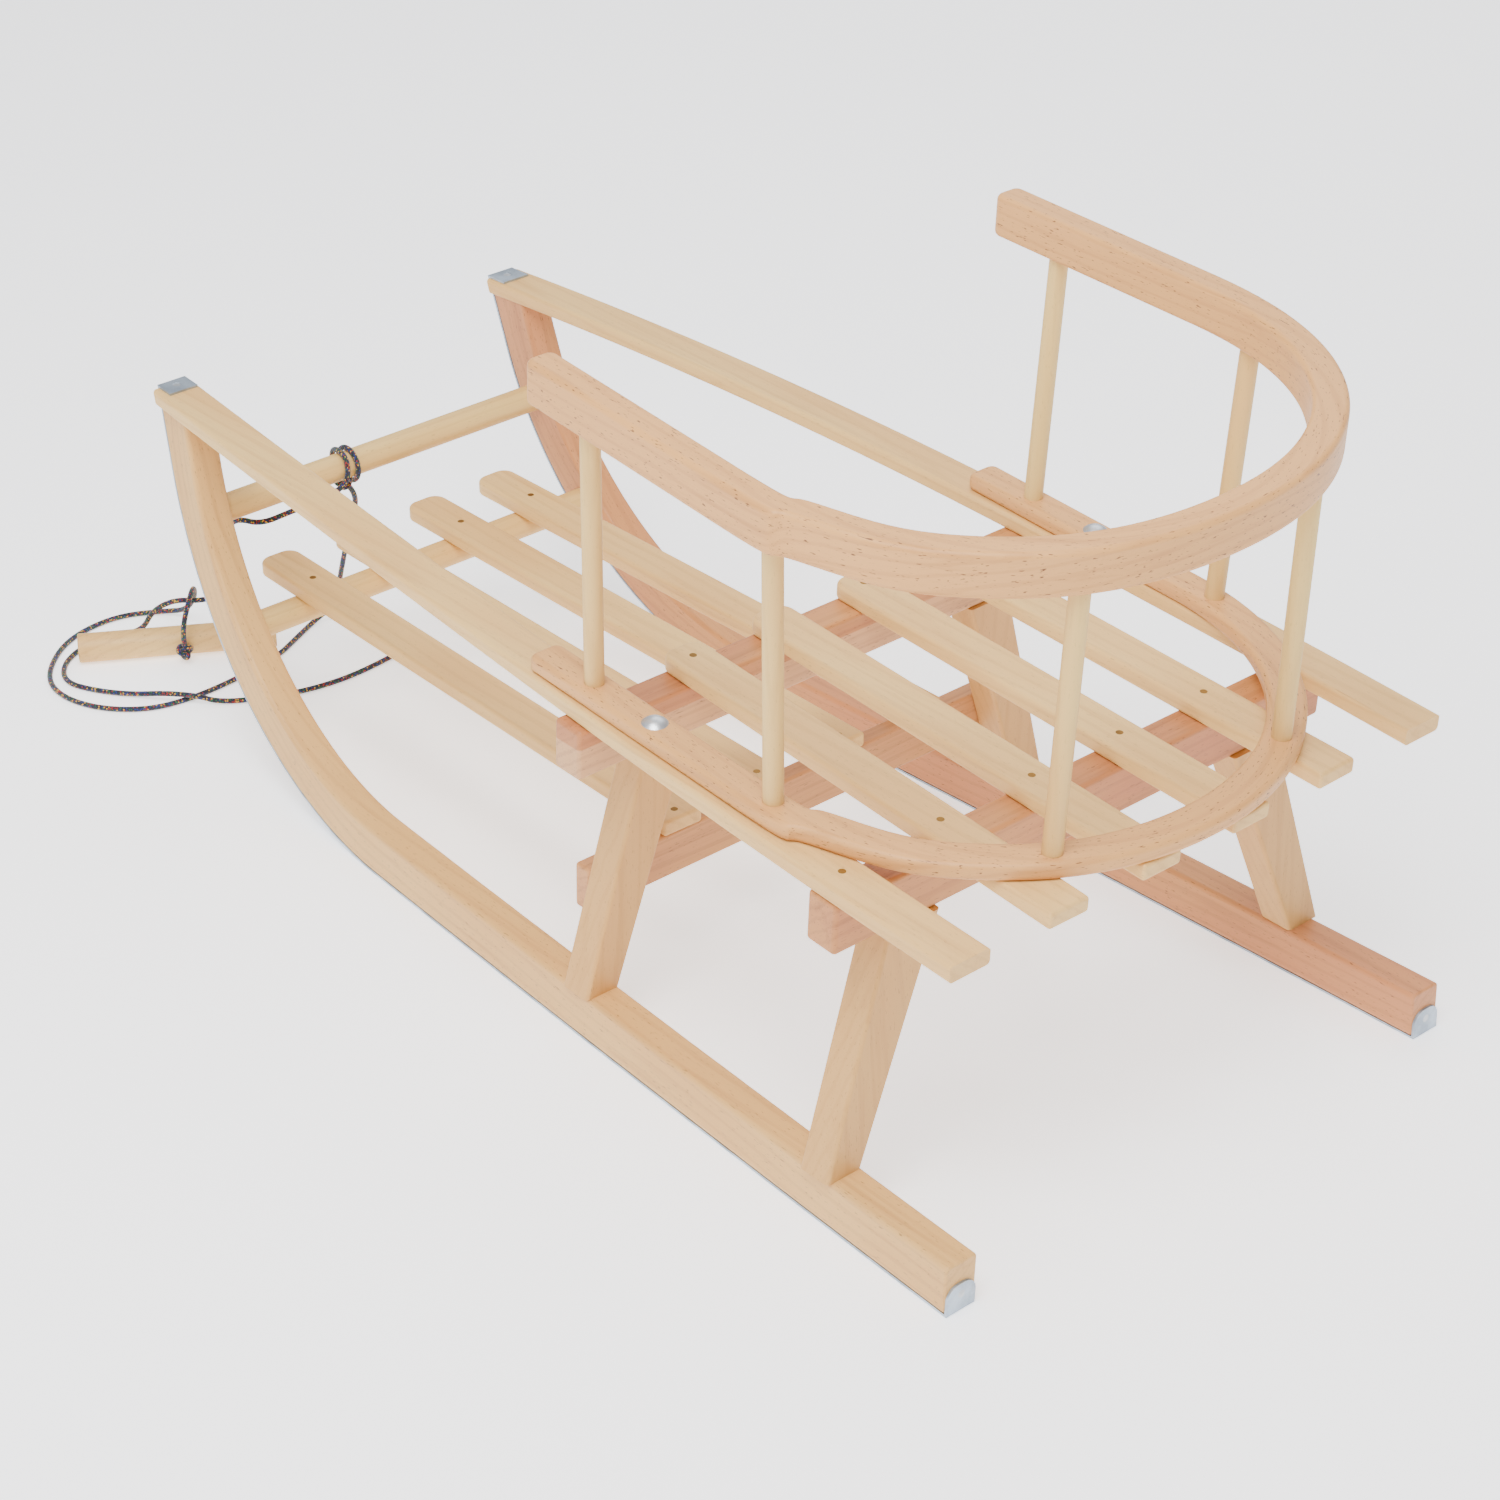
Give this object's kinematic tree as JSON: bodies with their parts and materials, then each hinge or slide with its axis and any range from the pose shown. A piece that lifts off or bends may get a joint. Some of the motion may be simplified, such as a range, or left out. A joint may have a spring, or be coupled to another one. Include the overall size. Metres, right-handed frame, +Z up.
{
  "type": "toboggan",
  "caption": "Wooden sled with curved runners, slatted seat and foot rest, a bentwood backrest on spindles, and a tow rope with a pull stick.",
  "frame": {"origin": "middle of the sled's footprint on the floor, between the runners, measured without the rope and pull stick", "axes": "+Z up, +Y towards the curved front, +X to the rider's right"},
  "size_m": [0.4369, 1.0109, 0.4561],
  "materials": {
    "beech": "sanded, unvarnished",
    "runner_beech": "sanded, unvarnished",
    "red_beech": "sanded, unvarnished",
    "steamed_beech": "sanded, unvarnished",
    "pale_dowel": "turned",
    "dowel": "turned",
    "zinc_steel": "zinc plated",
    "zinc_bolt": "bright zinc",
    "tin_screw": "zinc plated",
    "brass_screw": "yellow zinc",
    "rope": "braided"
  },
  "bodies": {
    "root": {"bolt_nuts": "zinc_bolt", "bolt_washers": "zinc_bolt", "carriage_bolts": "zinc_bolt", "foot_bar": "dowel", "foot_crossbar": "red_beech", "foot_slat_1": "beech", "foot_slat_2": "beech", "foot_slat_3": "beech", "foot_slat_4": "beech", "foot_slat_screws": "brass_screw", "front_crossbar": "red_beech", "front_leg_left": "beech", "front_leg_right": "beech", "hitch_knot": "rope", "leg_screws": "brass_screw", "lower_hoop": "steamed_beech", "pull_stick": "dowel", "rear_crossbar": "red_beech", "rear_leg_left": "beech", "rear_leg_right": "beech", "rope_long_leg": "rope", "rope_short_leg": "rope", "runner_left": "runner_beech", "runner_right": "runner_beech", "seat_slat_1": "beech", "seat_slat_2": "beech", "seat_slat_3": "beech", "seat_slat_4": "beech", "side_rail_left": "beech", "side_rail_right": "beech", "slat_screws": "brass_screw", "sole_left": "zinc_steel", "sole_right": "zinc_steel", "sole_screws": "tin_screw", "spindle_1": "pale_dowel", "spindle_2": "pale_dowel", "spindle_3": "pale_dowel", "spindle_4": "pale_dowel", "spindle_5": "pale_dowel", "spindle_6": "pale_dowel", "stick_knot": "rope", "tow_bar": "dowel", "upper_hoop": "steamed_beech"}
  },
  "joints": []
}
